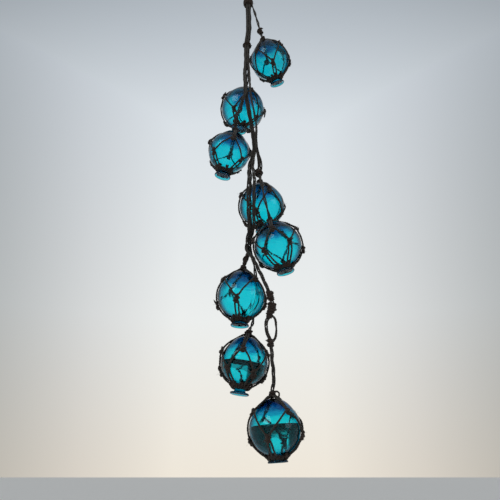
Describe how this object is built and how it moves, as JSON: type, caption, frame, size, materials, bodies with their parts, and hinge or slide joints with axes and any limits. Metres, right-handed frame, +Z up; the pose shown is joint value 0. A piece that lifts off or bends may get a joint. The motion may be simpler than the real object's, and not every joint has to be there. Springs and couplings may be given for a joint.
{
  "type": "string of glass float balls",
  "caption": "Hanging string of hollow blown-glass float balls, each in a knotted twine net with a flared glass seal below, tied by cords to one bundle under a hanging loop.",
  "frame": {"origin": "inside top of the hanging loop, where a hook or nail bears", "axes": "+Z up, so the string hangs along -Z; -Y is the front, seen in the picture; +X is to the right from the front"},
  "size_m": [0.1635, 0.1282, 0.9514],
  "materials": {
    "glass": "clear turquoise blown glass, glossy, faintly streaked",
    "net_twine": "weathered dark brown twisted twine, matt",
    "cord_twine": "weathered grey-brown twisted twine, matt and hairy"
  },
  "bodies": {
    "root": {"float_1_glass": "glass", "float_1_net": "net_twine", "float_1_cord": "cord_twine", "float_2_glass": "glass", "float_2_net": "net_twine", "float_2_cord": "cord_twine", "float_3_glass": "glass", "float_3_net": "net_twine", "float_3_cord": "cord_twine", "float_4_glass": "glass", "float_4_net": "net_twine", "float_4_cord": "cord_twine", "float_5_glass": "glass", "float_5_net": "net_twine", "float_5_cord": "cord_twine", "float_6_glass": "glass", "float_6_net": "net_twine", "float_6_cord": "cord_twine", "float_7_glass": "glass", "float_7_net": "net_twine", "float_7_cord": "cord_twine", "float_8_glass": "glass", "float_8_net": "net_twine", "float_8_cord": "cord_twine", "float_8_cord_loop": "cord_twine", "bundle_binding": "cord_twine", "top_knot": "cord_twine", "hanging_loop": "cord_twine"}
  },
  "joints": []
}
